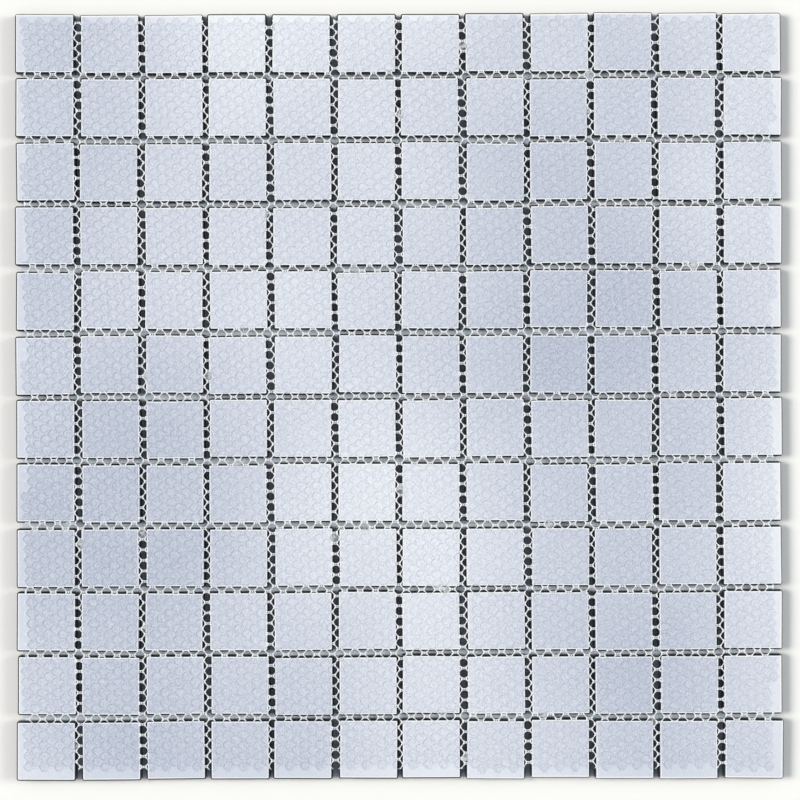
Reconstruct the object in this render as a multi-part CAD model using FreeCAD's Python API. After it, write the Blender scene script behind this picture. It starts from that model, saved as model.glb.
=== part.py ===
import FreeCAD, Part
import math
import os

# Mosaic tile sheet: small square tiles held at an even pitch by a knitted net that is set in glue
# on their backs. The sheet lies face down, as it is laid out for its net.
# Millimetres. X runs along the tile rows and Y across them, with the origin at the sheet's middle.
# Z = 0 is the plane of the glazed faces and +Z points out of the netted backs.

# The tile field
columns_of_tiles = 12
rows_of_tiles = 12
tile_pitch = 25.0

# One tile. It is widest near its glazed face, the mould's draft narrows it a little towards the back,
# and a bevel runs round the back.
face_side = 23.4
back_side = 22.5
tile_thickness = 5.0
corner_radius = 0.8
corner_steps = 2
bevel_width = 0.35
bevel_depth = 0.6
rim_width = 0.6
rim_depth = 0.6

# How far a tile may lie off its even place, and how far it may be turned
slide_reach = 0.35
turn_reach_degrees = 0.65

# The net, with its glue. It stops short of the outer edge of the tile field.
net_thickness = 0.4
net_margin = 3.0

# The knitted openings: six-sided, pointed left and right, in columns that are offset by half a row
column_spacing = 2.992
row_spacing = 4.072
opening_width = 3.8
opening_height = 2.98
opening_flat_width = 1.56
smallest_opening_area = 2.0

# How the soft net was pulled as it was laid. The bows and stretches are reached at bow_span.
column_lean_degrees = 3.85
row_rise_degrees = 0.58
bow_span = 150.0
column_bow = 3.31
row_bow = 1.32
column_stretch = 0.58
row_stretch = 1.12
column_fan = 0.56
row_fan = 0.42
net_shift_x = -1.59
net_shift_y = 0.31

joint_width = tile_pitch - back_side
field_length = columns_of_tiles * tile_pitch - joint_width
field_width = rows_of_tiles * tile_pitch - joint_width
net_length = field_length - 2 * net_margin
net_width = field_width - 2 * net_margin

# The furthest that any point of the net was pulled, with an opening to spare
column_lean = math.tan(math.radians(column_lean_degrees))
row_rise = math.tan(math.radians(row_rise_degrees))
pull_reach = max(field_length, field_width) / 2 * max(column_lean, row_rise)
pull_reach += column_bow + column_stretch + column_fan + opening_width


def rounded_square(side, radius, height):
    """The points of a square outline with its corners rounded in short steps."""
    corner_reach = (side / 2 - radius) * math.sqrt(2)
    points = []
    for quarter in range(4):
        diagonal = math.radians(90 * quarter + 45)
        for step in range(corner_steps + 1):
            angle = math.radians(90 * (quarter + step / corner_steps))
            x = corner_reach * math.cos(diagonal) + radius * math.cos(angle)
            y = corner_reach * math.sin(diagonal) + radius * math.sin(angle)
            points.append(FreeCAD.Vector(x, y, height))
    return points


def flat_face(points):
    """A flat face inside a closed run of points."""
    return Part.Face(Part.makePolygon(points + points[:1]))


def make_tile():
    """One tile, face down: the glazed face's eased rim, the drafted sides, the bevel and the flat back."""
    bevel_radius = corner_radius + bevel_width
    side_radius = corner_radius + (face_side - back_side) / 2
    face_radius = max(side_radius - rim_width, side_radius / 4)
    outlines = [rounded_square(face_side - 2 * rim_width, face_radius, 0),
                rounded_square(face_side, side_radius, rim_depth),
                rounded_square(back_side + 2 * bevel_width, bevel_radius, tile_thickness - bevel_depth),
                rounded_square(back_side, corner_radius, tile_thickness)]
    faces = [flat_face(outlines[0]), flat_face(outlines[-1])]
    for lower, upper in zip(outlines, outlines[1:]):
        for here in range(len(lower)):
            before = here - 1
            faces.append(flat_face([lower[before], lower[here], upper[here], upper[before]]))
    return Part.Solid(Part.Shell(faces))


def scatter(column, row, kind):
    """An uneven but repeatable number from -1 to 1 for one tile."""
    swing = math.sin(12.9898 * column + 78.233 * row + 37.719 * kind) * 43758.5453
    return 2 * (swing - math.floor(swing)) - 1


def tile_centre(index, count):
    """The even place of a tile along its row or column."""
    return (index - (count - 1) / 2) * tile_pitch


def make_tile_row(tile, row):
    """The separate tiles of one row, each laid by hand a little off its even place."""
    tiles = []
    for column in range(columns_of_tiles):
        x = tile_centre(column, columns_of_tiles) + slide_reach * scatter(column, row, 1)
        y = tile_centre(row, rows_of_tiles) + slide_reach * scatter(column, row, 2)
        turn = turn_reach_degrees * scatter(column, row, 3)
        laid = tile.copy()
        laid.Placement = FreeCAD.Placement(FreeCAD.Vector(x, y, 0),
                                           FreeCAD.Rotation(FreeCAD.Vector(0, 0, 1), turn))
        tiles.append(laid)
    return Part.makeCompound(tiles)


def as_laid(x, y):
    """Where a point of the even net ends up after the net was pulled over the tiles."""
    across = x / bow_span
    along = y / bow_span
    laid_x = x - column_lean * y - column_bow * along ** 2
    laid_x += column_stretch * across ** 2 - column_fan * across * along
    laid_y = y + row_rise * x + row_bow * across ** 2
    laid_y -= row_stretch * along ** 2 + row_fan * across * along
    return FreeCAD.Vector(laid_x, laid_y, 0)


def opening_centre(column, half_row):
    """The middle of one opening in the even net, before it is laid."""
    return FreeCAD.Vector(net_shift_x + column * column_spacing, net_shift_y + half_row * row_spacing / 2, 0)


def make_opening(middle):
    """The face of one opening as laid, between the strands that surround it."""
    tip = opening_width / 2
    shoulder = opening_flat_width / 2
    top = opening_height / 2
    corners = [(tip, 0), (shoulder, top), (-shoulder, top), (-tip, 0), (-shoulder, -top), (shoulder, -top)]
    points = [as_laid(middle.x + right, middle.y + up) for right, up in corners]
    return flat_face(points)


def gap_distance(place, count):
    """How far a place along X or Y is from the middle of the nearest gap between tiles."""
    gaps_along = place / tile_pitch + count / 2
    return abs(gaps_along - round(gaps_along)) * tile_pitch


def make_rectangle(x_low, x_high, y_low, y_high):
    """A flat rectangular face at Z = 0."""
    return Part.makePlane(x_high - x_low, y_high - y_low, FreeCAD.Vector(x_low, y_low, 0))


def gaps_under(y_low, y_high):
    """The plan of the gaps between tile backs under one strip of the net."""
    gaps = []
    for joint in range(columns_of_tiles - 1):
        middle = tile_centre(joint, columns_of_tiles) + tile_pitch / 2
        gaps.append(make_rectangle(middle - joint_width / 2, middle + joint_width / 2, y_low, y_high))
    for joint in range(rows_of_tiles - 1):
        middle = tile_centre(joint, rows_of_tiles) + tile_pitch / 2
        if y_low < middle < y_high:
            gaps.append(make_rectangle(-net_length / 2, net_length / 2,
                                       middle - joint_width / 2, middle + joint_width / 2))
    return gaps[0].fuse(gaps[1:]).removeSplitter()


def openings_near(y_low, y_high):
    """The openings that come near the gaps under one strip of the net."""
    column_reach = int((net_length / 2 + pull_reach) / column_spacing)
    half_row_low = int((y_low - pull_reach) / (row_spacing / 2))
    half_row_high = int((y_high + pull_reach) / (row_spacing / 2))
    near = (joint_width + opening_width) / 2
    openings = []
    for column in range(-column_reach, column_reach + 1):
        for half_row in range(half_row_low, half_row_high + 1):
            if (column + half_row) % 2 == 1:
                continue
            middle = opening_centre(column, half_row)
            laid = as_laid(middle.x, middle.y)
            beside_a_gap = gap_distance(laid.x, columns_of_tiles) < near
            above_a_gap = gap_distance(laid.y, rows_of_tiles) < near
            if beside_a_gap or above_a_gap:
                openings.append(make_opening(middle))
    return openings


def make_net_strip(y_low, y_high):
    """The net with its glue over one horizontal joint: closed on the tile backs, open over the gaps."""
    openings = Part.makeCompound(openings_near(y_low, y_high)).common(gaps_under(y_low, y_high))
    large_enough = [face for face in openings.Faces if face.Area > smallest_opening_area]
    film = make_rectangle(-net_length / 2, net_length / 2, y_low, y_high)
    sheet = film.cut(Part.makeCompound(large_enough))
    strip = sheet.extrude(FreeCAD.Vector(0, 0, net_thickness))
    strip.translate(FreeCAD.Vector(0, 0, tile_thickness))
    return strip


os.makedirs("parts", exist_ok=True)

one_tile = make_tile()
for row in range(rows_of_tiles):
    make_tile_row(one_tile, row).exportStep(f"parts/tile_row_{row + 1:02d}.step")

strip_count = rows_of_tiles - 1
for strip in range(strip_count):
    middle = tile_centre(strip, rows_of_tiles) + tile_pitch / 2
    low = -net_width / 2 if strip == 0 else middle - tile_pitch / 2
    high = net_width / 2 if strip == strip_count - 1 else middle + tile_pitch / 2
    make_net_strip(low, high).exportStep(f"parts/net_strip_{strip + 1:02d}.step")
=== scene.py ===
# %% [markdown]
# # The netted back of a mosaic sheet
# The real object is a square sheet of 144 small glazed tiles that lie face down. A knitted net with
# six-sided openings is set in glue on their backs and holds them together. This lesson dresses the
# measured model of the sheet: the tiles with their two finishes, the glue with the net showing through
# it, and the bare net where it bridges the gaps. Everything is in metres, in the model's own frame.

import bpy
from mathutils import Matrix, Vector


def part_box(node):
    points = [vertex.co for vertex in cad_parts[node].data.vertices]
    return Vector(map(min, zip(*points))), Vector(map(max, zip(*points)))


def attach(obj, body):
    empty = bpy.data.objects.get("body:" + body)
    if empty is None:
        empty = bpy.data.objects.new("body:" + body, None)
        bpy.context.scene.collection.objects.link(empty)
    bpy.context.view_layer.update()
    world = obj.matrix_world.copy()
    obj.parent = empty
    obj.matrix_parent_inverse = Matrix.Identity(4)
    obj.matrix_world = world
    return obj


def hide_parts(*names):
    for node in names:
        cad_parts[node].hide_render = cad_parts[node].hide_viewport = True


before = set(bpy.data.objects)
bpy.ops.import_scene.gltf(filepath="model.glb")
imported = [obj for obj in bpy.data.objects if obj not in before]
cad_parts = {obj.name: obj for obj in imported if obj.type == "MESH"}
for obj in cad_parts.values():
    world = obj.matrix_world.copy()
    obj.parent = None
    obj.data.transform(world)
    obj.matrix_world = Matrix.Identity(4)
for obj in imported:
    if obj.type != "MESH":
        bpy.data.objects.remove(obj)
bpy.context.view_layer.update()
MM = 0.001

# %% [markdown]
# ## Modules
# The sheet has thousands of openings, too many to model one by one. So numpy works out all the points
# at once, and bmesh and bpy turn them into meshes, objects and finishes.

# %% The modules that the lesson uses
import math

import bmesh
import bpy
import numpy as np

print("Blender", bpy.app.version_string, "with numpy", np.__version__)

# %% [markdown]
# ## Reading the heights and the net's reach from the model
# The tile rows and the net are pieces of the measured model. Their boxes give the height of the tile
# backs and how far the net reaches, so neither is typed in twice.

# %% Heights and reach
TILE_NODES = sorted(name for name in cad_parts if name.startswith("tile_row"))
NET_NODES = sorted(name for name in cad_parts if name.startswith("net_strip"))
BACK_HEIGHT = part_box(TILE_NODES[0])[1].z
NET_LOW = np.array(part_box(NET_NODES[0])[0])[:2]
NET_HIGH = np.array(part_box(NET_NODES[-1])[1])[:2]
print("tile backs at", round(BACK_HEIGHT / MM, 2), "mm, net from", np.round(NET_LOW / MM, 2), "to",
      np.round(NET_HIGH / MM, 2))

# %% [markdown]
# ## Where each tile lies
# The tiles were laid by hand, so each is a little off its even place and a little turned. The model
# holds these places. The tiles of a row are told apart by their X, the middle of a tile is the mean of
# its back's corner points, and its turn comes from the fourth power of those points taken as complex
# numbers, which is the same for all four sides of a square.

# %% Tile places
TILES_IN_ROW = 12
TILE_PITCH = 25.0 * MM
SAME_HEIGHT = 0.01 * MM
PLACE_DIGITS = 7


def tile_places(node):
    """The middle and the turn of every tile of a row, from the corners of its back."""
    points = np.array([vertex.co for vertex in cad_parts[node].data.vertices])
    backs = points[points[:, 2] > BACK_HEIGHT - SAME_HEIGHT][:, :2]
    backs = np.unique(np.round(backs, PLACE_DIGITS), axis=0)
    column = np.floor(backs[:, 0] / TILE_PITCH + TILES_IN_ROW / 2).astype(int)
    places = []
    for number in range(TILES_IN_ROW):
        corners = backs[column == number]
        middle = corners.mean(axis=0)
        spokes = (corners - middle) @ np.array([1, 1j])
        turn = np.angle(-np.sum(spokes ** 4)) / 4
        places.append((middle, turn))
    return places


PLACES = {node: tile_places(node) for node in TILE_NODES}
turns = [math.degrees(turn) for places in PLACES.values() for middle, turn in places]
print(len(turns), "tiles, turned by", round(min(turns), 2), "to", round(max(turns), 2), "degrees")

# %% [markdown]
# ## Shader groups that several finishes share
# Two effects come back in many finishes: a slow change of tone over the sheet, which also holds a painted
# band of light, and a fine grain. They could be built anew in each material, but a group with named
# inputs is built once, and every material sets its own strength.

# %% Group helpers
def new_group(name, inputs, output):
    """An empty shader group with number inputs and one number output, and the nodes for both ends."""
    group = bpy.data.node_groups.new(name, "ShaderNodeTree")
    for label, value in inputs.items():
        socket = group.interface.new_socket(name=label, in_out="INPUT", socket_type="NodeSocketFloat")
        socket.default_value = value
    group.interface.new_socket(name=output, in_out="OUTPUT", socket_type="NodeSocketFloat")
    return group, group.nodes.new("NodeGroupInput").outputs, group.nodes.new("NodeGroupOutput").inputs[0]


def feed(tree, socket, value):
    """Gives a socket a number, or links another node's output to it."""
    if isinstance(value, bpy.types.NodeSocket):
        tree.links.new(value, socket)
    else:
        socket.default_value = value


def math_node(tree, operation, first, second=0.5, third=0.0, clamp=False):
    """A Math node whose inputs are numbers or other nodes' outputs."""
    node = tree.nodes.new("ShaderNodeMath")
    node.operation = operation
    node.use_clamp = clamp
    for socket, value in zip(node.inputs, (first, second, third)):
        feed(tree, socket, value)
    return node.outputs[0]


def noise_node(tree, place, scale, detail):
    """A Noise texture at a place, with its scale from a number or another node's output."""
    node = tree.nodes.new("ShaderNodeTexNoise")
    node.inputs["Detail"].default_value = detail
    tree.links.new(place, node.inputs["Vector"])
    feed(tree, node.inputs["Scale"], scale)
    return node.outputs["Fac"]

# %% [markdown]
# ## The slow change of tone and the painted light band
# The backs aren't equally pale. A broad slanting band of painted light, a painted reflection of the
# studio's light on the sheet, passes over many tiles and grows lighter towards the far end. Clouds of tone
# pass over many tiles too, and each tile differs a little from its neighbour. A wave and a ramp make the
# painted band, a large noise the clouds and a number for each square of the tile grid the step from tile
# to tile. The three are added by shares.

# %% Tone group
# The band is painted light: a slanting wave of reflected light, and a ramp that makes the far end lighter.
LIGHT_BAND_LENGTH = 200 * MM
LIGHT_BAND_START = 0.55
LIGHT_BAND_SLANT = 5.0
FAR_GAIN, FAR_OFFSET = 12.0, -1.2
CLOUD_SCALE, CLOUD_DETAIL = 9.0, 1.0
CLOUD_GAIN, CLOUD_OFFSET = 3.0, -1.0


def make_tone_group():
    """Tone from 0 to 1: a broad band of painted light, clouds that pass over the whole sheet, and a step at
    each tile.
    """
    group, given, result = new_group("sheet_tone_and_painted_light", {"Painted Light Share": 0.4, "Tile Share": 0.15}, "Tone")
    place = group.nodes.new("ShaderNodeTexCoord").outputs["Object"]
    apart = group.nodes.new("ShaderNodeSeparateXYZ")
    group.links.new(place, apart.inputs[0])
    # painted light: the slanting band and the lighter far end
    across = math_node(group, "MULTIPLY_ADD", apart.outputs["X"], 2 * math.pi / LIGHT_BAND_LENGTH, LIGHT_BAND_START)
    slanted = math_node(group, "MULTIPLY_ADD", apart.outputs["Y"], LIGHT_BAND_SLANT, across)
    wave = math_node(group, "MULTIPLY_ADD", math_node(group, "COSINE", slanted), 0.5, 0.5)
    far_up = math_node(group, "MULTIPLY_ADD", apart.outputs["Y"], FAR_GAIN, FAR_OFFSET, clamp=True)
    band = math_node(group, "ADD", wave, far_up)
    cloud_noise = noise_node(group, place, CLOUD_SCALE, CLOUD_DETAIL)
    clouds = math_node(group, "MULTIPLY_ADD", cloud_noise, CLOUD_GAIN, CLOUD_OFFSET)
    grid = group.nodes.new("ShaderNodeVectorMath")
    grid.operation = "SNAP"
    grid.inputs[1].default_value = (TILE_PITCH, TILE_PITCH, 1.0)
    group.links.new(place, grid.inputs[0])
    steps = group.nodes.new("ShaderNodeTexWhiteNoise")
    group.links.new(grid.outputs[0], steps.inputs["Vector"])
    shares = math_node(group, "ADD", given["Painted Light Share"], given["Tile Share"])
    cloud_part = math_node(group, "MULTIPLY", clouds, math_node(group, "SUBTRACT", 1.0, shares))
    with_painted_light = math_node(group, "MULTIPLY_ADD", band, given["Painted Light Share"], cloud_part)
    step = steps.outputs["Value"]
    tone = math_node(group, "MULTIPLY_ADD", step, given["Tile Share"], with_painted_light, clamp=True)
    group.links.new(tone, result)
    return group


TONE_AND_LIGHT_GROUP = make_tone_group()
print("group", TONE_AND_LIGHT_GROUP.name, "with", len(TONE_AND_LIGHT_GROUP.nodes), "nodes")

# %% [markdown]
# ## The fine grain
# From close by, clay, glue and yarn are all uneven. Two sizes of noise are mixed for this and stretched
# in contrast. The grain can be drawn out along the sheet's Y, as the glue is where it was rolled on.

# %% Grain group
COARSE_SCALE = 0.17
FINE_DETAIL, COARSE_DETAIL = 1.5, 2.0
GRAIN_GAIN, GRAIN_OFFSET = 2.4, -0.7


def make_grain_group():
    """Grain from 0 to 1 in two sizes, for colour and for height."""
    inputs = {"Scale": 1500.0, "Coarse Share": 0.5, "Squeeze": 1.0}
    group, given, result = new_group("fine_grain", inputs, "Grain")
    squeeze = group.nodes.new("ShaderNodeCombineXYZ")
    squeeze.inputs["X"].default_value = squeeze.inputs["Z"].default_value = 1.0
    group.links.new(given["Squeeze"], squeeze.inputs["Y"])
    drawn_out = group.nodes.new("ShaderNodeVectorMath")
    drawn_out.operation = "MULTIPLY"
    group.links.new(group.nodes.new("ShaderNodeTexCoord").outputs["Object"], drawn_out.inputs[0])
    group.links.new(squeeze.outputs[0], drawn_out.inputs[1])
    place = drawn_out.outputs[0]
    fine = noise_node(group, place, given["Scale"], FINE_DETAIL)
    coarse_scale = math_node(group, "MULTIPLY", given["Scale"], COARSE_SCALE)
    coarse = noise_node(group, place, coarse_scale, COARSE_DETAIL)
    fine_share = math_node(group, "SUBTRACT", 1.0, given["Coarse Share"])
    fine_part = math_node(group, "MULTIPLY", fine, fine_share)
    mixed = math_node(group, "MULTIPLY_ADD", coarse, given["Coarse Share"], fine_part)
    group.links.new(math_node(group, "MULTIPLY_ADD", mixed, GRAIN_GAIN, GRAIN_OFFSET, clamp=True), result)
    return group


GRAIN_GROUP = make_grain_group()
print("group", GRAIN_GROUP.name, "with", len(GRAIN_GROUP.nodes), "nodes")

# %% [markdown]
# ## One way to make a finish
# All the finishes of the sheet are made alike: two colours are mixed by the tone, which carries the painted
# light band, and the grain, the roughness moves between two values by the grain, and the grain also gives
# a small bump. So one function makes a material, and each finish only says its own values.

# %% Colours and the nodes of a finish
COLOUR_A, COLOUR_B, MIXED_COLOUR = 6, 7, 2  # a Mix node's colour sockets, told by their number


def linear(red, green, blue):
    """A colour as seen on a screen, from 0 to 255, as the plain light values that shaders use."""
    values = [channel / 255 for channel in (red, green, blue)]
    return [v / 12.92 if v <= 0.04045 else ((v + 0.055) / 1.055) ** 2.4 for v in values] + [1.0]


def set_inputs(node, values):
    """Sets some of a node's inputs by their labels."""
    for label, value in values.items():
        node.inputs[label].default_value = value


def use_group(tree, group, values):
    """A group node in a material, with its inputs set."""
    node = tree.nodes.new("ShaderNodeGroup")
    node.node_tree = group
    set_inputs(node, values)
    return node.outputs[0]


def mix_colours(tree, mask, first, second):
    """A colour between two colours, by a mask."""
    node = tree.nodes.new("ShaderNodeMix")
    node.data_type = "RGBA"
    tree.links.new(mask, node.inputs["Factor"])
    node.inputs[COLOUR_A].default_value, node.inputs[COLOUR_B].default_value = first, second
    return node.outputs[MIXED_COLOUR]


def map_range(tree, value, limits):
    """A Map Range node on another node's output, with its limits set by their labels."""
    node = tree.nodes.new("ShaderNodeMapRange")
    set_inputs(node, limits)
    tree.links.new(value, node.inputs["Value"])
    return node.outputs["Result"]

# %% The finish function
def make_finish(name, dark, light, tone, grain, grain_share, roughness, bump):
    """A material between two colours, with a grain that shows in its colour, roughness and height."""
    material = bpy.data.materials.new(name)
    material.use_nodes = True
    tree = material.node_tree
    shader = tree.nodes["Principled BSDF"]
    # the tone holds the painted light band as well as clouds and tile steps
    tone_and_light_mask = use_group(tree, TONE_AND_LIGHT_GROUP, tone)
    grain_mask = use_group(tree, GRAIN_GROUP, grain)
    tone_part = math_node(tree, "MULTIPLY", tone_and_light_mask, 1 - grain_share)
    both = math_node(tree, "MULTIPLY_ADD", grain_mask, grain_share, tone_part)
    tree.links.new(mix_colours(tree, both, dark, light), shader.inputs["Base Color"])
    rough = map_range(tree, grain_mask, {"To Min": roughness[0], "To Max": roughness[1]})
    tree.links.new(rough, shader.inputs["Roughness"])
    relief = tree.nodes.new("ShaderNodeBump")
    set_inputs(relief, {"Strength": bump[0], "Distance": bump[1]})
    tree.links.new(grain_mask, relief.inputs["Height"])
    tree.links.new(relief.outputs["Normal"], shader.inputs["Normal"])
    return material


def add_coat(material, weight, roughness):
    """A clear glossy layer on a material."""
    shader = material.node_tree.nodes["Principled BSDF"]
    set_inputs(shader, {"Coat Weight": weight, "Coat Roughness": roughness})

# %% [markdown]
# ## The tile: unglazed back, glazed sides and face
# A pressed and glazed tile has two finishes. Its back is bare fired clay, matt with a fine grain; its
# near-white colour is partly the clay's own and partly a painted highlight along the back's edge. Its sides
# and face carry a dark slate glaze. The clay and the glaze are two materials on one closed mesh, because
# on the real tile they meet in a clean line at the back's edge.

# %% Clay and glaze
# Near-white clay: partly the clay's own colour, partly a painted highlight on the back's edge.
CLAY_AND_HIGHLIGHT = make_finish("bare_clay_and_painted_highlight", dark=linear(240, 244, 250), light=linear(254, 255, 255),
                   tone={"Painted Light Share": 0.4, "Tile Share": 0.3},
                   grain={"Scale": 2600.0, "Coarse Share": 0.4}, grain_share=0.3,
                   roughness=(0.55, 0.8), bump=(0.25, 0.03 * MM))
GLAZE = make_finish("slate_glaze", dark=linear(20, 27, 33), light=linear(38, 49, 57),
                    tone={"Painted Light Share": 0.0, "Tile Share": 0.5},
                    grain={"Scale": 900.0, "Coarse Share": 0.6}, grain_share=0.5,
                    roughness=(0.3, 0.5), bump=(0.12, 0.04 * MM))
add_coat(GLAZE, weight=0.25, roughness=0.15)
print("finishes:", CLAY_AND_HIGHLIGHT.name, "and", GLAZE.name)

# %% [markdown]
# ## The tile's mesh
# A tile is a rounded square that changes its size with height. Going up from the face it has a
# cushioned rim, sides that lean in a little, a dark bevel towards the back, and at last the pale eased
# edge of the bare back. The glaze runs up over the bevel and ends just short of the flat back. A
# bevelled cube would be equally soft at every edge. So each height is one ring of points, and
# neighbouring rings are joined by four-sided faces, which gives true round edges with few faces.

# %% The rings of one tile
FACE_SIDE = 23.39 * MM
BACK_SIDE = 22.5 * MM
CORNER_RADIUS = 0.55 * MM
LEAST_RADIUS = 0.3 * MM
RIM, RIM_STEPS = 0.6 * MM, 4
BEVEL_WIDTH, BEVEL_DEPTH = 0.35 * MM, 0.6 * MM
BEVEL_FOOT = ((0.0, -0.1 * MM), (0.05 * MM, 0.05 * MM))
EASED_EDGE = 0.36 * MM
BACK_SINK = ((1.0, 0.0), (0.6, 0.06), (0.0, 0.9))
CORNER_STEPS = 5


def rounded_square(inset, side):
    """The outline of a square with round corners, drawn in from the widest outline by an inset."""
    radius = max(CORNER_RADIUS + (side - BACK_SIDE) / 2 - inset, LEAST_RADIUS)
    reach = side / 2 - inset - radius
    steps = [(quarter, step) for quarter in range(4) for step in range(CORNER_STEPS + 1)]
    angles = [90 * quarter + 90 * step / CORNER_STEPS for quarter, step in steps]
    corners = [90 * quarter + 45 for quarter, step in steps]
    x = reach * math.sqrt(2) * np.cos(np.radians(corners)) + radius * np.cos(np.radians(angles))
    y = reach * math.sqrt(2) * np.sin(np.radians(corners)) + radius * np.sin(np.radians(angles))
    return np.stack([x, y], axis=1)


def tile_rings():
    """Every ring of a tile from its face to its back: its outline and its height."""
    rings = []
    for step in range(RIM_STEPS + 1):
        angle = math.radians(90 * step / RIM_STEPS)
        rings.append((rounded_square(RIM * (1 - math.sin(angle)), FACE_SIDE), RIM * (1 - math.cos(angle))))
    for inset, rise in BEVEL_FOOT:
        outline = rounded_square(inset, BACK_SIDE + 2 * BEVEL_WIDTH)
        rings.append((outline, BACK_HEIGHT - BEVEL_DEPTH + rise))
    for inset, drop in reversed(BACK_SINK):
        rings.append((rounded_square(inset * EASED_EDGE, BACK_SIDE), BACK_HEIGHT - drop * EASED_EDGE))
    return rings


RINGS = tile_rings()
RING_SIZE = len(RINGS[0][0])
print("a tile has", len(RINGS), "rings of", RING_SIZE, "points")

# %% [markdown]
# ## Painted light on the sheet's outer edge
# On the right side of the sheet, on the right part of its near side and on its far side away from the
# middle, the dark line round the sheet is painted lighter: a second band of faces gets the pale clay
# instead of the glaze. A mask could paint that, but the rings already lie where the line runs, so whole
# bands of faces get the clay instead.

# %% Bands of clay
# The second band of clay is painted light on parts of the sheet's outer edge.
CLAY_BANDS, PAINTED_LIGHT_CLAY_BANDS = 1, 2
OUTER_EDGE = (TILES_IN_ROW / 2 * TILE_PITCH) - 2.5 * MM
FAR_GLAZE_FROM, FAR_GLAZE_TO = -75 * MM, 50 * MM
NEAR_GLAZE_TO = 25 * MM


def clay_bands(place):
    """How many bands of clay show at a place: a second band on parts of the outer edge, painted light."""
    at_right = place[0] > OUTER_EDGE
    at_far_side = place[1] > OUTER_EDGE and not FAR_GLAZE_FROM < place[0] < FAR_GLAZE_TO
    at_near_side = place[1] < -OUTER_EDGE and place[0] > NEAR_GLAZE_TO
    return PAINTED_LIGHT_CLAY_BANDS if at_right or at_far_side or at_near_side else CLAY_BANDS


print("bands of clay:", CLAY_BANDS, "or", PAINTED_LIGHT_CLAY_BANDS)

# %% [markdown]
# ## Pieces that ride on the sheet
# Every mesh is made from plain lists of points and faces. One helper turns them into an object, lets it
# ride on the sheet, gives it its finishes and hides the pieces of the model that it stands for. The first
# such pieces are the rows of tiles: twelve closed stacks of rings, each at its own place and turn.

# %% Piece helpers
def add_object(name, data):
    """A new object in the scene."""
    added = bpy.data.objects.new(name, data)
    bpy.context.scene.collection.objects.link(added)
    return added


def add_piece(name, points, faces, materials, replaced, face_material, smooth):
    """A mesh object on the sheet, which stands for some pieces of the measured model."""
    mesh = bpy.data.meshes.new(name)
    mesh.from_pydata([tuple(point) for point in points], [], faces)
    for material in materials:
        mesh.materials.append(material)
    mesh.polygons.foreach_set("material_index", face_material)
    mesh.polygons.foreach_set("use_smooth", smooth)
    mesh.update()
    piece = add_object(name, mesh)
    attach(piece, "root")
    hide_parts(*replaced)
    return piece


def triangles(pieces):
    """How many triangles some mesh objects have."""
    return sum(len(polygon.vertices) - 2 for piece in pieces for polygon in piece.data.polygons)

# %% One row of tiles
BARE, GLAZED = 0, 1


def make_tile_row(number, node):
    """The twelve tiles of one row, each at its own place and turn."""
    points, faces, face_material = [], [], []
    for middle, turn in PLACES[node]:
        start = len(points)
        spin = np.array([[math.cos(turn), math.sin(turn)], [-math.sin(turn), math.cos(turn)]])
        for outline, height in RINGS:
            points.extend((x, y, height) for x, y in outline @ spin + middle)
        faces.append([start + point for point in reversed(range(RING_SIZE))])
        face_material.append(GLAZED)
        for band in range(len(RINGS) - 1):
            low, high = start + band * RING_SIZE, start + (band + 1) * RING_SIZE
            for point in range(RING_SIZE):
                after = (point + 1) % RING_SIZE
                faces.append([low + point, low + after, high + after, high + point])
                place = (np.array(points[low + point]) + points[low + after]) / 2
                # on parts of the outer edge a second band of pale clay is painted light
                bare = band >= len(RINGS) - 1 - clay_bands(place)
                face_material.append(BARE if bare else GLAZED)
        faces.append([high + point for point in range(RING_SIZE)])
        face_material.append(BARE)
    smooth = [len(face) == 4 for face in faces]
    return add_piece(f"tiles_of_row_{number:02d}", points, faces, [CLAY_AND_HIGHLIGHT, GLAZE], [node],
                     face_material, smooth)


tile_rows = [make_tile_row(number + 1, node) for number, node in enumerate(TILE_NODES)]
print(len(tile_rows), "tile rows,", triangles(tile_rows), "triangles")

# %% [markdown]
# ## The net's lattice
# The net is knitted, so its openings stand in columns, and each column is half a row off its
# neighbours. The real net was pulled a little as it was laid: it leans, rises and bows. The even lattice
# is easy to write down, so all the glue and net meshes are made on it, and one function then moves
# every point to where it lies.

# %% From the even net to the net as laid
COLUMN_SPACING = 2.992 * MM
HALF_ROW = 4.072 * MM / 2
COLUMNS_OUT, HALF_ROWS_OUT = 58, 84
NET_SHIFT = np.array([-1.59, 0.31]) * MM
COLUMN_LEAN = math.tan(math.radians(3.85))
ROW_RISE = math.tan(math.radians(0.58))
BOW_SPAN = 150.0 * MM
COLUMN_BOW, COLUMN_STRETCH, COLUMN_FAN = 3.31 * MM, 0.58 * MM, 0.56 * MM
ROW_BOW, ROW_STRETCH, ROW_FAN = 1.32 * MM, 1.12 * MM, 0.42 * MM


def as_laid(even):
    """Where points of the even net end up after the net was pulled over the tiles."""
    x, y = even[..., 0], even[..., 1]
    across, along = x / BOW_SPAN, y / BOW_SPAN
    laid_x = x - COLUMN_LEAN * y - COLUMN_BOW * along ** 2
    laid_x = laid_x + COLUMN_STRETCH * across ** 2 - COLUMN_FAN * across * along
    laid_y = y + ROW_RISE * x + ROW_BOW * across ** 2
    laid_y = laid_y - ROW_STRETCH * along ** 2 - ROW_FAN * across * along
    return np.stack([laid_x, laid_y], axis=-1)


def lattice():
    """The middle of every opening in the even net, and its column and half row."""
    column, half_row = np.mgrid[-COLUMNS_OUT:COLUMNS_OUT + 1, -HALF_ROWS_OUT:HALF_ROWS_OUT + 1]
    there = (column + half_row) % 2 == 0
    column, half_row = column[there], half_row[there]
    middle = np.stack([column * COLUMN_SPACING, half_row * HALF_ROW], axis=1) + NET_SHIFT
    return middle, np.stack([column, half_row], axis=1)


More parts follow.
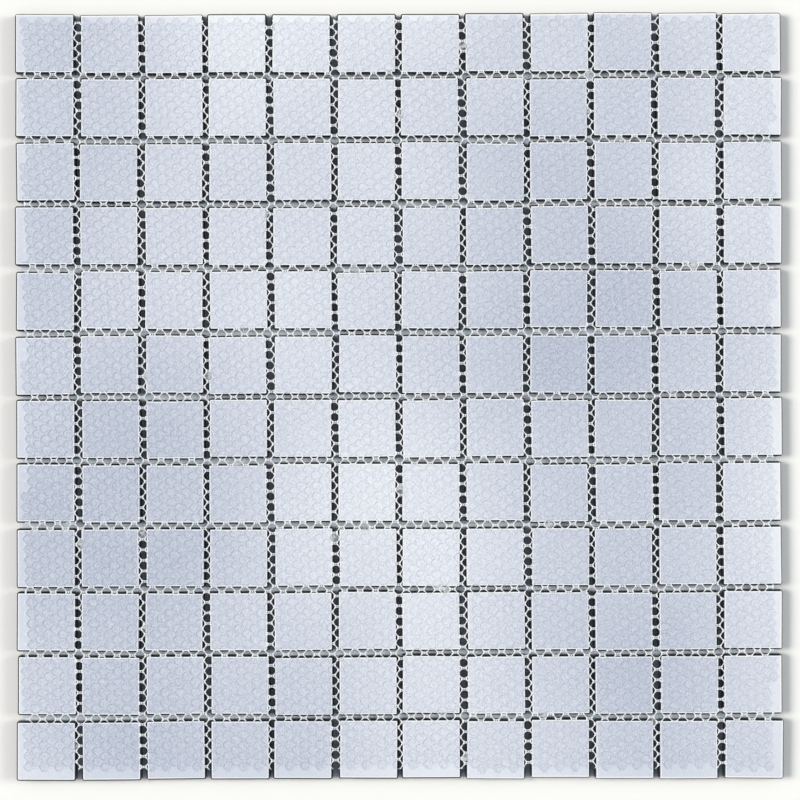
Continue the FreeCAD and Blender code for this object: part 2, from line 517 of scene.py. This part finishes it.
EVEN_MIDDLES, COUNTS = lattice()
LAID_MIDDLES = as_laid(EVEN_MIDDLES)
print(len(EVEN_MIDDLES), "openings in the lattice")

# %% [markdown]
# ## The shape of one opening
# Round each opening run sixteen points of the strands' middle line. Two yarns meet in a short knot above
# and below the opening, cross in the knot's middle and part again in slanting strands. The opening
# itself is a rounded six-sided hole. Its outline is worked out from the distance of its six sides with a
# soft minimum, so one number sets how round its corners are.

# %% Strand line and hole outline
def strand_line():
    """Sixteen points of the strands' middle line round one opening, from the right tip anticlockwise."""
    tip = (COLUMN_SPACING ** 2 + HALF_ROW ** 2) / (2 * COLUMN_SPACING)
    knot = (COLUMN_SPACING ** 2 - HALF_ROW ** 2) / (2 * COLUMN_SPACING)
    quarter = [(tip, 0.0), (COLUMN_SPACING / 2, HALF_ROW / 2), (knot, HALF_ROW), (knot / 2, HALF_ROW)]
    upper = quarter + [(0.0, HALF_ROW)] + [(-x, y) for x, y in reversed(quarter)]
    return np.array(upper + [(x, -y) for x, y in reversed(upper[1:-1])])


STRAND_LINE = strand_line()
POINTS_ROUND = len(STRAND_LINE)
DIRECTIONS = np.arctan2(STRAND_LINE[:, 1], STRAND_LINE[:, 0])
STRAND_WIDTH = 0.22 * MM
KNOT_HEIGHT = 0.9 * MM
CORNER_SHARPNESS = 7


def hole_outline():
    """The outline of the hole between the strands, seen from its middle in the same directions."""
    slant = math.atan2(HALF_ROW, COLUMN_SPACING)
    slant_distance = (math.hypot(COLUMN_SPACING, HALF_ROW) - STRAND_WIDTH) / 2
    sides = [(turn, slant_distance) for turn in (slant, math.pi - slant, math.pi + slant, -slant)]
    sides += [(turn, HALF_ROW - KNOT_HEIGHT / 2) for turn in (math.pi / 2, -math.pi / 2)]
    nearness = sum(np.clip(np.cos(DIRECTIONS - turn) / distance, 0, None) ** CORNER_SHARPNESS
                   for turn, distance in sides)
    radius = nearness ** (-1 / CORNER_SHARPNESS)
    return np.stack([radius * np.cos(DIRECTIONS), radius * np.sin(DIRECTIONS)], axis=1)


HOLE = hole_outline()
print("hole in mm:", np.round(2 * HOLE.max(axis=0) / MM, 2))

# %% [markdown]
# ## No two openings alike
# Soft yarn never closes round two openings in the same way. So each opening gets its own size and three
# small waves round its outline. Random numbers could give them, but numbers worked out from an opening's
# column and row are the same in every run.

# %% Uneven holes
SCATTER_STEPS = (12.9898, 78.233, 37.719)
SCATTER_SWING = 43758.5453
SIZE_DRAW = 6
HOLE_WAVES = (1, 2, 3)
UNEVENNESS = 0.012


def scatter(first, second, draw):
    """An uneven but repeatable number from 0 to 1 for a pair of counts, another one for each draw."""
    swing = np.sin(SCATTER_STEPS[0] * first + SCATTER_STEPS[1] * second + SCATTER_STEPS[2] * draw)
    swing = swing * SCATTER_SWING
    return swing - np.floor(swing)


def hole_sizes(chosen):
    """How much larger or smaller than the even hole each chosen opening is, in all sixteen directions."""
    column, half_row = COUNTS[chosen].T
    sizes = 1 + UNEVENNESS * (2 * scatter(column, half_row, SIZE_DRAW)[:, None] - 1)
    for waves in HOLE_WAVES:
        start = 2 * math.pi * scatter(column, half_row, SIZE_DRAW + waves)[:, None]
        sizes = sizes + UNEVENNESS / 2 * np.cos(waves * DIRECTIONS + start)
    return sizes[..., None]


all_sizes = hole_sizes(np.arange(len(COUNTS)))
print("holes from", round(all_sizes.min(), 3), "to", round(all_sizes.max(), 3), "of the even size")

# %% [markdown]
# ## Stacks of rings over the lattice
# Both the glue relief and the bare net are made the same way: every opening gets some rings of sixteen
# points, each at its own height. A ring with share 0 lies on the hole's outline, share 1 lies on the
# strands' middle line, a share between lies on the strand's shoulder, and a share below 0 lies inside
# the hole. Rings on the middle line meet those of the neighbouring openings, so joining the points that
# coincide closes the surface from one opening to the next.

# %% Build rings over many openings
JOIN_DISTANCE = 0.004 * MM


def ring_points(chosen, share, height):
    """The laid points of one ring round each chosen opening."""
    hole = HOLE * hole_sizes(chosen)
    offset = hole * (1 + min(share, 0)) + (STRAND_LINE - hole) * max(share, 0)
    laid = as_laid(EVEN_MIDDLES[chosen][:, None, :] + offset)
    return np.concatenate([laid, height(laid[..., 0], laid[..., 1])[..., None]], axis=-1)


def band_faces(count, inner, outer, picked=range(POINTS_ROUND)):
    """Four-sided faces between two rings of every opening, given the rings' numbers in the stack."""
    opening = np.arange(count)[:, None] * POINTS_ROUND
    here = np.array(list(picked))[None, :]
    after = (here + 1) % POINTS_ROUND
    inner_start, outer_start = inner * count * POINTS_ROUND, outer * count * POINTS_ROUND
    quads = np.stack([inner_start + opening + here, outer_start + opening + here,
                      outer_start + opening + after, inner_start + opening + after], axis=2)
    return quads.reshape(-1, 4).tolist()


def start_bmesh(points, faces, materials):
    """A bmesh from arrays of points, faces and face materials."""
    mesh = bpy.data.meshes.new("scratch")
    mesh.from_pydata(points.reshape(-1, 3).tolist(), [], faces)
    mesh.polygons.foreach_set("material_index", materials)
    bm = bmesh.new()
    bm.from_mesh(mesh)
    bpy.data.meshes.remove(mesh)
    bmesh.ops.remove_doubles(bm, verts=bm.verts[:], dist=JOIN_DISTANCE)
    return bm

# %% [markdown]
# ## The outer edge of the net
# The net was cut by hand, a few millimetres inside the edge of the tile field, so its edge wanders. It
# was also cut a little askew at the far side, and a little short at the near side. One wave gives that
# edge, both to cut the bare net and to let its relief in the glue run out.

# %% The wandering edge
WAVES = ((0.83, 0.41, 1.0, 1.7), (-0.37, 0.92, 1.0, 2.9), (0.64, -0.71, 1.31, 4.3))
BORDER_WAVE, BORDER_LENGTH, BORDER_SLANT = 0.2 * MM, 90 * MM, 0.4
FAR_SIDE_EXTRA, FAR_SIDE_SLANT = 1.15 * MM, 0.0052
NEAR_SIDE_SHORT = 0.8 * MM
EDGE_REACH = 2.2 * MM
EDGE_SOFTNESS = 0.8 * MM


def soft_wave(x, y, length, seed):
    """A smooth uneven number from about -1 to 1 over the sheet, with bumps about as long as length."""
    turn = 2 * math.pi / length
    waves = [np.sin(turn * squeeze * (right * x + up * y) + start * seed)
             for right, up, squeeze, start in WAVES]
    return sum(waves) / len(waves)


def border_wave(along, axis, side):
    """How far out the net's cut edge runs at a place along it."""
    wander = BORDER_WAVE * soft_wave(along, BORDER_SLANT * along, BORDER_LENGTH, 5 + 2 * axis + side)
    if axis == 0:
        return side * wander
    if side < 0:
        return NEAR_SIDE_SHORT + wander
    return FAR_SIDE_EXTRA + FAR_SIDE_SLANT * along + wander


def inside_net(x, y):
    """1 well inside the net and 0 outside it, with a short soft step at its edge."""
    share = np.ones_like(x)
    for axis, place, along in ((0, x, y), (1, y, x)):
        for side, limit in ((-1, NET_LOW[axis]), (1, NET_HIGH[axis])):
            room = side * (limit + border_wave(along, axis, side) - place)
            share = share * np.clip(room / EDGE_SOFTNESS + 0.5, 0, 1)
    return share


print(int(np.sum(inside_net(*LAID_MIDDLES.T) > 0.5)), "openings lie inside the net's cut edge")

# %% [markdown]
# ## Glue with the net in it
# On the tile backs the net lies in a film of glue. The glue stands low in each opening, with a steep
# narrow wall up to the strands, so the net shows as thin round outlines. A bump map could hint at them,
# but real relief catches the light from every side. Where the film is thicker the net shows less, and
# beyond the net's edge only a thin paler film is left. On the left part of each opening's wall, which
# faces away from the main lamp, a darker finish paints the shade at the foot of the strands; the rest of
# the wall keeps the glue's finish. Glue, painted-shade wall, buried yarn and thin film are four finishes.
# Glue and wall are shaded flat, which keeps their edges crisp.

# %% The film's finishes
# the film's tone carries the painted light band at half share
FILM_TONE = {"Painted Light Share": 0.5, "Tile Share": 0.12}
STREAKED = {"Scale": 2500.0, "Coarse Share": 0.0, "Squeeze": 0.45}
THICK_GLUE = {"tone": FILM_TONE, "grain": STREAKED, "grain_share": 0.42,
              "roughness": (0.4, 0.65), "bump": (1.0, 0.07 * MM)}
GLUE = make_finish("glue_film", linear(163, 173, 197), linear(244, 248, 254), **THICK_GLUE)
# The wall finish is darker glue: painted shade at the foot of the strands.
SHADE_PAINTED_WALL = make_finish("glue_wall_painted_shade", dark=linear(134, 144, 165), light=linear(222, 228, 240),
                        tone=FILM_TONE, grain={"Scale": 700.0, "Coarse Share": 0.3}, grain_share=0.42,
                        roughness=(0.5, 0.7), bump=(0.3, 0.03 * MM))
BURIED_YARN = make_finish("yarn_under_glue", linear(163, 172, 195), linear(243, 247, 252), **THICK_GLUE)
THIN_GLUE = make_finish("glue_beyond_the_net", dark=linear(192, 200, 217), light=linear(246, 250, 255),
                        tone=FILM_TONE, grain=STREAKED, grain_share=0.2,
                        roughness=(0.4, 0.6), bump=(0.2, 0.03 * MM))
for glossy in (GLUE, BURIED_YARN, THIN_GLUE):
    add_coat(glossy, weight=0.15, roughness=0.35)
FILM_FINISHES = [GLUE, SHADE_PAINTED_WALL, BURIED_YARN, THIN_GLUE, CLAY_AND_HIGHLIGHT]
DISH_FINISH, PAINTED_SHADE_FINISH, YARN_FINISH, THIN_FINISH, EDGE_FINISH = range(len(FILM_FINISHES))
print("film finishes:", [finish.name for finish in FILM_FINISHES])

# %% [markdown]
# ## How high the glue stands
# The glue sags between the strands and stands highest over a strand. Both heights are functions of the
# place, so they vary slowly and sink to the thin film beyond the net's edge, and every ring of an
# opening lies a set share of the way between them.

# %% The film's heights
THIN_FILM = 0.05 * MM
DISH_DEEP, DISH_SHALLOW = 0.05 * MM, 0.12 * MM
FLOW_TO_RIGHT = 2.5
FLOW_WAVES = ((0.6, 33 * MM, 1), (0.5, 9 * MM, 2))
CREST = 0.25 * MM
CREST_WAVE, CREST_WAVE_LENGTH, CREST_SEED = 0.015 * MM, 7 * MM, 3
FILM_RINGS = ((-0.095, 0.0), (0.0, 0.95), (1.0, 1.0))
# The points round each opening whose wall gets the painted shade: its left side.
PAINTED_SHADE_POINTS = range(5, 12)


def dish_height(x, y):
    """The height of the glue in the middle of an opening, uneven, and fuller to the right."""
    flow = 0.5 + FLOW_TO_RIGHT * x
    for share, length, seed in FLOW_WAVES:
        flow = flow + share * soft_wave(x, y, length, seed)
    dish = DISH_DEEP + (DISH_SHALLOW - DISH_DEEP) * np.clip(flow, 0, 1)
    return BACK_HEIGHT + THIN_FILM + (dish - THIN_FILM) * inside_net(x, y)


def crest_height(x, y):
    """The height of the glue over the middle of a strand."""
    crest = CREST + CREST_WAVE * soft_wave(x, y, CREST_WAVE_LENGTH, CREST_SEED)
    return BACK_HEIGHT + THIN_FILM + (crest - THIN_FILM) * inside_net(x, y)


def film_height(rise):
    """A height function between the dish and the crest."""
    return lambda x, y: (1 - rise) * dish_height(x, y) + rise * crest_height(x, y)


crests = (crest_height(*LAID_MIDDLES.T) - BACK_HEIGHT) / MM
print("the glue stands up to", round(crests.max(), 3), "mm above the backs")

# %% [markdown]
# ## Cutting the film to each tile
# The film ends at the edge of each tile's back. A boolean cut would be slow on so many faces. Twelve
# straight planes, one for each 30 degrees, cut a rounded square as well, because those that touch a
# round corner follow it closely. Then the open edge is drawn down and a little outwards to the clay, and
# closed below. That thin edge has the clay's near-white finish, because the clay shows through it, so it
# also carries the painted highlight along the back's edge.

# %% Cutting helpers
FILM_INSET = 0.6 * MM
BEAD_WIDTH = 0.08 * MM
FILM_CUTS = 12
ON_PLANE = 1e-8


def outline_reach(angle, side, radius):
    """How far a rounded square reaches in a direction."""
    return (side / 2 - radius) * (abs(math.cos(angle)) + abs(math.sin(angle))) + radius


def cut_at(bm, point, direction, clear=True):
    """Cuts the mesh at a plane, and takes away what lies beyond it unless told not to."""
    everything = bm.verts[:] + bm.edges[:] + bm.faces[:]
    bmesh.ops.bisect_plane(bm, geom=everything, dist=ON_PLANE, plane_co=point, plane_no=direction,
                           clear_outer=clear)


def close_holes(bm, edges):
    """Fills the holes inside open edges and turns every face outwards."""
    bmesh.ops.holes_fill(bm, edges=edges, sides=0)
    bmesh.ops.recalc_face_normals(bm, faces=bm.faces[:])


def take_out(bm, points, faces, face_material):
    """Adds the bmesh to plain lists and frees it."""
    bm.verts.index_update()
    start = len(points)
    points.extend(tuple(vertex.co) for vertex in bm.verts)
    faces.extend([start + vertex.index for vertex in face.verts] for face in bm.faces)
    face_material.extend(face.material_index for face in bm.faces)
    bm.free()


print("film ends", round(FILM_INSET / MM, 2), "mm inside the back's edge")

# %% One patch of film
OPENING_REACH = 2.4 * MM


def film_surface(middle):
    """The uncut glue relief round the middle of a tile."""
    reach = BACK_SIDE / 2 + OPENING_REACH
    chosen = np.where(np.all(np.abs(LAID_MIDDLES - middle) < reach, axis=1))[0]
    count = len(chosen)
    points = np.stack([ring_points(chosen, share, film_height(rise)) for share, rise in FILM_RINGS])
    faces = np.arange(count * POINTS_ROUND).reshape(count, POINTS_ROUND).tolist()
    netted = inside_net(*LAID_MIDDLES[chosen].T) > 0.5
    materials = np.where(netted, DISH_FINISH, THIN_FINISH).tolist()
    # left walls get the painted shade, the rest the glue's own finish
    wall_and_shade_finishes = [PAINTED_SHADE_FINISH if point in PAINTED_SHADE_POINTS else DISH_FINISH for point in range(POINTS_ROUND)]
    for band, finish in enumerate((wall_and_shade_finishes, YARN_FINISH)):
        faces.extend(band_faces(count, band, band + 1))
        finishes = np.broadcast_to(finish, (count, POINTS_ROUND))
        materials.extend(np.where(netted[:, None], finishes, THIN_FINISH).ravel().tolist())
    return start_bmesh(points, faces, materials)


def of_kind(items, kind):
    """The items of one kind among faces, edges and points."""
    return [item for item in items if isinstance(item, kind)]


def film_patch(middle, turn):
    """The glue on one tile, cut to the tile's back and closed below."""
    bm = film_surface(middle)
    for step in range(FILM_CUTS):
        angle = math.radians(360 / FILM_CUTS * step)
        distance = outline_reach(angle, BACK_SIDE - 2 * FILM_INSET, CORNER_RADIUS - FILM_INSET)
        direction = (math.cos(angle + turn), math.sin(angle + turn), 0)
        cut_at(bm, (middle[0] + distance * direction[0], middle[1] + distance * direction[1], 0), direction)
    rim = [edge for edge in bm.edges if edge.is_boundary]
    skirt = bmesh.ops.extrude_edge_only(bm, edges=rim)["geom"]
    for face in of_kind(skirt, bmesh.types.BMFace):
        face.material_index = EDGE_FINISH
    grow = 1 + BEAD_WIDTH / (BACK_SIDE / 2 - FILM_INSET)
    for vertex in of_kind(skirt, bmesh.types.BMVert):
        vertex.co.x = middle[0] + (vertex.co.x - middle[0]) * grow
        vertex.co.y = middle[1] + (vertex.co.y - middle[1]) * grow
        vertex.co.z = BACK_HEIGHT
    close_holes(bm, [edge for edge in of_kind(skirt, bmesh.types.BMEdge) if edge.is_boundary])
    return bm

# %% The film on every row
def make_film_row(number, node):
    """The film patches of one row of tiles."""
    points, faces, face_material = [], [], []
    for middle, turn in PLACES[node]:
        take_out(film_patch(middle, turn), points, faces, face_material)
    replaced = NET_NODES[min(number, len(NET_NODES)) - 1]
    smooth = [material == YARN_FINISH for material in face_material]
    return add_piece(f"glue_film_row_{number:02d}", points, faces, FILM_FINISHES, [replaced],
                     face_material, smooth)


film_rows = [make_film_row(number + 1, node) for number, node in enumerate(TILE_NODES)]
print(len(film_rows), "film rows,", triangles(film_rows), "triangles")

# %% [markdown]
# ## The bare net over the gaps
# Over the gaps nothing lies under the net, so its openings are real holes and its strands are round in
# section. In each knot two yarns cross, with a small open slit to the left and to the right of the
# crossing. The strands run on a little way into the film, so that each goes from tile to tile without a
# break. A picture of a net on a flat strip would look right only from above, so the strands are closed
# tubes.

# %% The net's finish and rings
# the yarn's tone carries a little of the painted light band
YARN = make_finish("white_yarn", dark=linear(232, 238, 246), light=linear(254, 255, 255),
                   tone={"Painted Light Share": 0.2, "Tile Share": 0.2},
                   grain={"Scale": 5200.0, "Coarse Share": 0.3}, grain_share=0.4,
                   roughness=(0.4, 0.65), bump=(0.5, 0.03 * MM))
add_coat(YARN, weight=0.25, roughness=0.25)
NET_RINGS = ((1.0, 0.21 * MM), (0.5, 0.19 * MM), (0.0, 0.115 * MM), (0.5, 0.04 * MM), (1.0, 0.02 * MM))
SLIT_WIDTH = 0.42 * MM
SLIT_MIDDLES = (3, 5, 11, 13)
KNOT_RISE = 0.7
KNOT_SHARE = np.array([0, 0, 0.6, 1, 1, 1, 0.6, 0, 0, 0, 0.6, 1, 1, 1, 0.6, 0])
GAP = TILE_PITCH - BACK_SIDE
GAP_MIDDLES = (np.arange(1, TILES_IN_ROW) - TILES_IN_ROW / 2) * TILE_PITCH
GAP_SOFTNESS = 0.5 * MM
print(YARN.name, "over", len(GAP_MIDDLES), "gaps each way,", round(GAP / MM, 2), "mm wide")

# %% The strands
STRAND_FINISH, WEB_FINISH = 0, 1


def over_gap(x, y):
    """1 over a gap between tiles and 0 over the tiles, with a short soft step between them."""
    from_middle = np.minimum(*(np.abs(place[..., None] - GAP_MIDDLES).min(axis=-1) for place in (x, y)))
    return np.clip((GAP / 2 - from_middle) / GAP_SOFTNESS, 0, 1)


def strand_height(height):
    """A height function that rises at the knots, where two yarns lie on each other, over a gap."""
    return lambda x, y: BACK_HEIGHT + height * (1 + KNOT_RISE * KNOT_SHARE * over_gap(x, y))


def net_surface(chosen):
    """The strands round the chosen openings, uncut, with two slits in every knot."""
    rings = []
    for share, height in NET_RINGS:
        ring = ring_points(chosen, share, strand_height(height))
        if share == 1.0:
            middle = ring.mean(axis=1, keepdims=True)
            for slit in SLIT_MIDDLES:
                ring[:, slit, 1] -= np.sign(ring[:, slit, 1] - middle[:, 0, 1]) * SLIT_WIDTH / 2
        rings.append(ring)
    faces = []
    for ring in range(len(NET_RINGS) - 1):
        faces.extend(band_faces(len(chosen), ring, ring + 1))
    beside_slits = [point + step for point in SLIT_MIDDLES for step in (-1, 0)]
    faces.extend(band_faces(len(chosen), len(NET_RINGS) - 1, 0, beside_slits))
    return start_bmesh(np.stack(rings), faces, [STRAND_FINISH] * len(faces))

# %% [markdown]
# ## Webs of glue
# Here and there the glue has closed an opening over a gap with a thin cloudy web. Such a web is a thin
# closed plate in the opening, low down between the strands. Its finish lets part of the light through,
# and a coarse grain makes it milky in flecks.

# %% The web's finish and shape
WEB_CLEARNESS = {"From Min": 0.42, "From Max": 0.6, "To Min": 0.12, "To Max": 0.8}
WEB_SHARE = 0.012
WEB_DRAW = 4
WEB_RINGS = ((0.25, 0.09 * MM), (0.25, 0.06 * MM))


def make_web_finish():
    """A milky finish whose clearness changes with a coarse grain."""
    material = make_finish("glue_web", dark=linear(176, 186, 196), light=linear(244, 248, 252),
                           tone={"Painted Light Share": 0.0, "Tile Share": 0.5},
                           grain={"Scale": 2600.0, "Coarse Share": 0.5}, grain_share=0.7,
                           roughness=(0.25, 0.5), bump=(0.6, 0.05 * MM))
    tree = material.node_tree
    flecks = use_group(tree, GRAIN_GROUP, {"Scale": 3100.0, "Coarse Share": 0.6})
    tree.links.new(map_range(tree, flecks, WEB_CLEARNESS), tree.nodes["Principled BSDF"].inputs["Alpha"])
    return material


def level(height):
    """A height function that is the same everywhere."""
    return lambda x, y: BACK_HEIGHT + height + 0 * x


def web_surface(chosen):
    """Thin plates in some of the chosen openings."""
    webbed = chosen[scatter(COUNTS[chosen, 0], COUNTS[chosen, 1], WEB_DRAW) < WEB_SHARE]
    count = len(webbed)
    points = np.stack([ring_points(webbed, share, level(height)) for share, height in WEB_RINGS])
    upper = np.arange(count * POINTS_ROUND).reshape(count, POINTS_ROUND)
    faces = upper.tolist() + (upper[:, ::-1] + count * POINTS_ROUND).tolist() + band_faces(count, 0, 1)
    return start_bmesh(points, faces, [WEB_FINISH] * len(faces))


WEB = make_web_finish()
print(WEB.name, "in about one opening of", round(1 / WEB_SHARE))

# %% [markdown]
# ## Cutting the net to the gaps
# Only the strands near a gap are kept, because the rest is hidden in the glue. The mesh is cut along the
# gaps and along the net's wandering edge. A plane cuts only straight, so there the points are moved by
# the wave, cut, and moved back.

# %% Cuts along the gaps and the net's edge
OVER_TILE = 0.8 * MM
HALF_BAND = GAP / 2 + OVER_TILE
CUT_JOIN_DISTANCE = 0.002 * MM


def trim_to_net_edge(bm):
    """Cuts away what lies beyond the wandering outer edge of the net."""
    for axis in (0, 1):
        for side, limit in ((-1, NET_LOW[axis]), (1, NET_HIGH[axis])):
            if all(side * (vertex.co[axis] - limit) < -EDGE_REACH for vertex in bm.verts):
                continue
            point, direction = [0, 0, 0], [0, 0, 0]
            point[axis], direction[axis] = limit, side
            for vertex in bm.verts:
                vertex.co[axis] -= border_wave(vertex.co[1 - axis], axis, side)
            cut_at(bm, point, direction)
            for vertex in bm.verts:
                vertex.co[axis] += border_wave(vertex.co[1 - axis], axis, side)


def keep_over_gaps(bm, crossing):
    """Cuts the mesh along the edges of the gaps and deletes what lies further over the tiles."""
    for side in (-1, 1):
        cut_at(bm, (0, crossing + side * HALF_BAND, 0), (0, 1, 0), clear=False)
        for place in GAP_MIDDLES:
            cut_at(bm, (place + side * HALF_BAND, 0, 0), (1, 0, 0), clear=False)
    outside = []
    for face in bm.faces:
        spot = face.calc_center_median()
        if abs(spot.y - crossing) > HALF_BAND and np.abs(GAP_MIDDLES - spot.x).min() > HALF_BAND:
            outside.append(face)
    bmesh.ops.delete(bm, geom=outside, context="FACES")


print("the net is kept up to", round(HALF_BAND / MM, 2), "mm from the middle of a gap")

# %% The net over every horizontal gap
STRIP_REACH = 3 * MM


def make_net_strip(number, node):
    """The bare net over one horizontal gap and the halves of the vertical gaps beside it."""
    low, high = (np.array(corner)[:2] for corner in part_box(node))
    crossing = GAP_MIDDLES[number - 1]
    near_reach = HALF_BAND + OPENING_REACH
    from_gap = np.abs(LAID_MIDDLES[:, 0, None] - GAP_MIDDLES).min(axis=1)
    near = (from_gap < near_reach) | (np.abs(LAID_MIDDLES[:, 1] - crossing) < near_reach)
    inside = np.all((LAID_MIDDLES > low - STRIP_REACH) & (LAID_MIDDLES < high + STRIP_REACH), axis=1)
    chosen = np.where(near & inside)[0]
    points, faces, face_material = [], [], []
    for surface in (net_surface, web_surface):
        bm = surface(chosen)
        if number > 1:
            cut_at(bm, (0, low[1], 0), (0, -1, 0))
        if number < len(NET_NODES):
            cut_at(bm, (0, high[1], 0), (0, 1, 0))
        keep_over_gaps(bm, crossing)
        trim_to_net_edge(bm)
        bmesh.ops.remove_doubles(bm, verts=bm.verts[:], dist=CUT_JOIN_DISTANCE)
        close_holes(bm, [edge for edge in bm.edges if edge.is_boundary])
        take_out(bm, points, faces, face_material)
    return add_piece(f"net_over_gaps_{number:02d}", points, faces, [YARN, WEB], [node],
                     face_material, [True] * len(faces))


net_strips = [make_net_strip(number + 1, node) for number, node in enumerate(NET_NODES)]
print(len(net_strips), "net strips,", triangles(net_strips), "triangles")

# %% [markdown]
# ## The floor
# The sheet lies face down on a plain white board. A pale blue square of the sheet's own size lies under
# it and shows through the gaps; its blue is painted, and stands for the bluish light in the shaded gaps.
# Board and square are scenery and not part of the sheet.

# %% Floor and paper
PAINT_ROUGHNESS = 0.9


def make_flat(name, reach, depth, colour):
    """A flat square of scenery under the sheet."""
    mesh = bpy.data.meshes.new(name)
    corners = [(-reach, -reach), (reach, -reach), (reach, reach), (-reach, reach)]
    mesh.from_pydata([(x, y, -depth) for x, y in corners], [], [(0, 1, 2, 3)])
    flat = add_object(name, mesh)
    paint = bpy.data.materials.new(name + "_paint")
    paint.use_nodes = True
    shader = paint.node_tree.nodes["Principled BSDF"]
    set_inputs(shader, {"Base Color": colour, "Roughness": PAINT_ROUGHNESS})
    mesh.materials.append(paint)
    return flat


floor = make_flat("white_board", reach=3.0, depth=0.04 * MM, colour=linear(252, 252, 250))
# The pale blue square is painted bluish light for the shaded gaps.
blue_cast_square = make_flat("blue_light_square_under_sheet", reach=0.1475, depth=0.02 * MM, colour=linear(230, 241, 254))
print("scenery:", floor.name, "and", blue_cast_square.name)

# %% [markdown]
# ## Light
# The picture is lit from the left by a broad high lamp and from the right by a weaker, lower one, both a
# little from the top of the picture. So the gaps that run left and right show their lit floor, and the
# gaps that run up and down stay dark. Sun lamps are even over the whole sheet, and their spread softens
# the shadows at its edges. The lamps are a little warm and the world a little blue, so open floor is
# neutral and what lies in shadow turns bluish.

# %% Lamps
LAMP_SPREAD = 26


def add_lamp(name, azimuth, elevation, strength, colour):
    """A sun lamp that shines from a compass direction and a height above the floor, in degrees."""
    light = bpy.data.lights.new(name, "SUN")
    light.energy = strength
    light.color = colour
    light.angle = math.radians(LAMP_SPREAD)
    lamp = add_object(name, light)
    lamp.rotation_euler = (0, math.radians(90 - elevation), math.radians(azimuth))
    return lamp


lamps = [add_lamp("left_lamp", azimuth=173, elevation=43, strength=2.26, colour=(1.0, 0.955, 0.888)),
         add_lamp("right_lamp", azimuth=7, elevation=30, strength=1.31, colour=(0.974, 1.0, 0.916))]
print("lamps:", {lamp.name: round(lamp.data.energy, 2) for lamp in lamps})

# %% World
WORLD_COLOUR = (0.85, 0.89, 1.0, 1.0)
OVERHEAD = {"From Min": 0.72, "From Max": 1.0, "To Min": 0.65, "To Max": 0.03}
LESS_AT_ENDS = -0.7


def make_world():
    """A bluish studio that is darker straight above, where the camera stands, and at its two ends."""
    world = bpy.data.worlds.new("studio")
    world.use_nodes = True
    tree = world.node_tree
    apart = tree.nodes.new("ShaderNodeSeparateXYZ")
    tree.links.new(tree.nodes.new("ShaderNodeTexCoord").outputs["Generated"], apart.inputs[0])
    overhead = map_range(tree, apart.outputs["Z"], OVERHEAD)
    to_ends = math_node(tree, "MULTIPLY", apart.outputs["Y"], apart.outputs["Y"])
    beside = math_node(tree, "MULTIPLY_ADD", to_ends, LESS_AT_ENDS, 1.0)
    strength = math_node(tree, "MULTIPLY", overhead, beside)
    tree.links.new(strength, tree.nodes["Background"].inputs["Strength"])
    tree.nodes["Background"].inputs["Color"].default_value = WORLD_COLOUR
    return world


bpy.context.scene.world = make_world()
print("world:", bpy.context.scene.world.name)

# %% [markdown]
# ## Camera
# The camera looks straight down from about a metre. Its field of view makes one tile pitch as wide as in
# the picture, and a slight turn and shift put the sheet where the picture has it.

# %% Camera
CAMERA_HEIGHT = 0.95
PICTURE_SIZE = 800
PITCH_IN_PICTURE = 64.24
SHEET_MIDDLE_IN_PICTURE = (399.0, 396.3)
SHEET_TURN = math.radians(0.17)

metres_per_pixel = TILE_PITCH / PITCH_IN_PICTURE
half_width = metres_per_pixel * PICTURE_SIZE / 2
camera_data = bpy.data.cameras.new("camera")
camera_data.angle = 2 * math.atan(half_width / (CAMERA_HEIGHT - BACK_HEIGHT))
camera = add_object("camera", camera_data)
right = (PICTURE_SIZE / 2 - SHEET_MIDDLE_IN_PICTURE[0]) * metres_per_pixel
down = (PICTURE_SIZE / 2 - SHEET_MIDDLE_IN_PICTURE[1]) * metres_per_pixel
camera.location = (right * math.cos(SHEET_TURN) - down * math.sin(SHEET_TURN),
                   -down * math.cos(SHEET_TURN) - right * math.sin(SHEET_TURN), CAMERA_HEIGHT)
camera.rotation_euler = (0, 0, -SHEET_TURN)
bpy.context.scene.camera = camera
bpy.context.scene.view_settings.view_transform = "Standard"
print("camera sees", round(2 * half_width / MM, 1), "mm across")

# %% Finish
print("all pieces:", triangles(tile_rows + film_rows + net_strips), "triangles")
